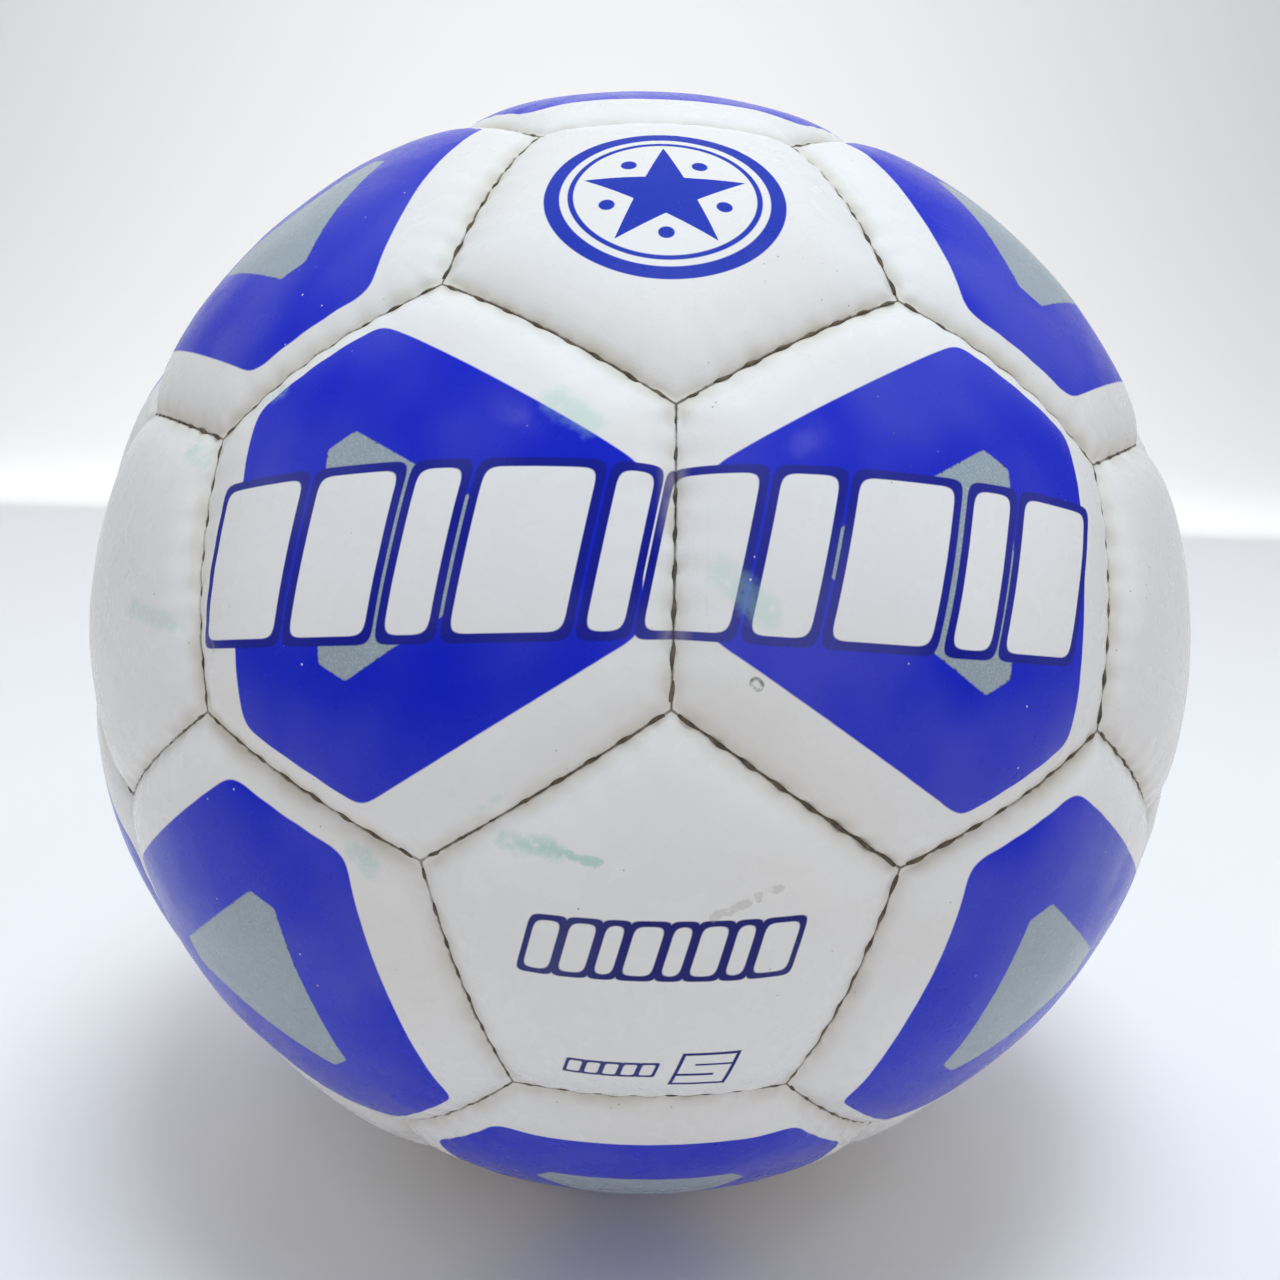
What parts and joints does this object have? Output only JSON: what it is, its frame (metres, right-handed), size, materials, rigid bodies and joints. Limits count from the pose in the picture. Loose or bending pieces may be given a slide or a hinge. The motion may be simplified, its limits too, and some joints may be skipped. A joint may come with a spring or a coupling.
{
  "type": "soccer ball",
  "caption": "Hand-stitched ball of white pentagonal panels and white hexagonal panels printed in blue and grey, with bladder and inflating valve.",
  "frame": {"origin": "centre of the ball", "axes": "+Z through the centre of the top hexagonal panel, so that the ball rests on the hexagonal panel opposite it; -Y towards the front, where two hexagonal panels meet in an upright seam in the plane X=0"},
  "size_m": [0.22, 0.22, 0.22],
  "materials": {
    "hex_skin": "glossy polyurethane synthetic leather, white with blue and grey print",
    "pent_skin": "glossy polyurethane synthetic leather, white, slightly soiled",
    "foam": "closed-cell foam, matte",
    "backing_fabric": "plies of woven polyester and cotton, laminated",
    "thread": "waxed polyester, soiled",
    "bladder_rubber": "smooth butyl rubber",
    "valve_rubber": "smooth, moulded",
    "valve_core_rubber": "soft, greased"
  },
  "bodies": {
    "root": {"bladder": "bladder_rubber", "hex_fabric_backings": "backing_fabric", "hex_foam_backings": "foam", "hex_panel_bottom": "hex_skin", "hex_panel_high_1": "hex_skin", "hex_panel_high_2": "hex_skin", "hex_panel_high_3": "hex_skin", "hex_panel_low_1": "hex_skin", "hex_panel_low_2": "hex_skin", "hex_panel_low_3": "hex_skin", "hex_panel_lower_1": "hex_skin", "hex_panel_lower_2": "hex_skin", "hex_panel_lower_3": "hex_skin", "hex_panel_lower_4": "hex_skin", "hex_panel_lower_5": "hex_skin", "hex_panel_lower_6": "hex_skin", "hex_panel_top": "hex_skin", "hex_panel_upper_1": "hex_skin", "hex_panel_upper_2": "hex_skin", "hex_panel_upper_4": "hex_skin", "hex_panel_upper_5": "hex_skin", "hex_panel_upper_6": "hex_skin", "hex_seam_threads": "thread", "pent_fabric_backings": "backing_fabric", "pent_foam_backings": "foam", "pent_panel_high_1": "pent_skin", "pent_panel_high_2": "pent_skin", "pent_panel_high_3": "pent_skin", "pent_panel_low_1": "pent_skin", "pent_panel_low_2": "pent_skin", "pent_panel_low_3": "pent_skin", "pent_panel_lower_1": "pent_skin", "pent_panel_lower_2": "pent_skin", "pent_panel_lower_3": "pent_skin", "pent_panel_upper_1": "pent_skin", "pent_panel_upper_2": "pent_skin", "pent_panel_upper_3": "pent_skin", "pent_seam_threads": "thread", "valve_body": "valve_rubber", "valve_core": "valve_core_rubber", "valve_hex_panel": "hex_skin", "valve_patch": "valve_rubber"}
  },
  "joints": []
}
